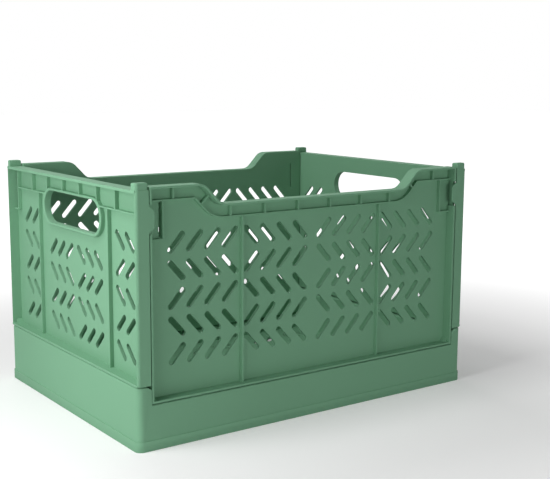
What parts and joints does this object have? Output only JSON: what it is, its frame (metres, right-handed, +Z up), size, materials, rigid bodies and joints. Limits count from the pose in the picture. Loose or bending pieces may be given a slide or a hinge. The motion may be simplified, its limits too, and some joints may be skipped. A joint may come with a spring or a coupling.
{
  "type": "collapsible crate",
  "caption": "Collapsible plastic storage crate with slotted walls, hand holes in its ends and long sides that fold flat onto its floor.",
  "frame": {"origin": "middle of the crate's footprint, on the surface that it stands on", "axes": "+X along the long walls, +Y along the end walls towards the wall that folds first, +Z up"},
  "size_m": [0.34, 0.247, 0.2034],
  "materials": {
    "tray_plastic": "satin moulded",
    "wall_plastic": "satin moulded",
    "clip_plastic": "satin moulded"
  },
  "bodies": {
    "tray": {"base_tray": "tray_plastic", "end_wall_left": "wall_plastic", "end_wall_right": "wall_plastic", "hinge_clip_end_left_front": "clip_plastic", "hinge_clip_end_left_back": "clip_plastic", "hinge_clip_end_right_front": "clip_plastic", "hinge_clip_end_right_back": "clip_plastic", "hinge_clip_front_left": "clip_plastic", "hinge_clip_front_middle": "clip_plastic", "hinge_clip_front_right": "clip_plastic", "hinge_clip_back_left": "clip_plastic", "hinge_clip_back_middle": "clip_plastic", "hinge_clip_back_right": "clip_plastic"},
    "front_wall": {"long_wall_front": "wall_plastic"},
    "back_wall": {"long_wall_back": "wall_plastic"}
  },
  "joints": [
    {"name": "long_wall_front_fold", "type": "hinge", "parent": "tray", "child": "front_wall", "pos_m": [0, -0.11695, 0.0275], "axis": [-1, 0, 0], "range_deg": [0, 90]},
    {"name": "long_wall_back_fold", "type": "hinge", "parent": "tray", "child": "back_wall", "pos_m": [0, 0.11695, 0.013], "axis": [1, 0, 0], "range_deg": [0, 90]}
  ]
}
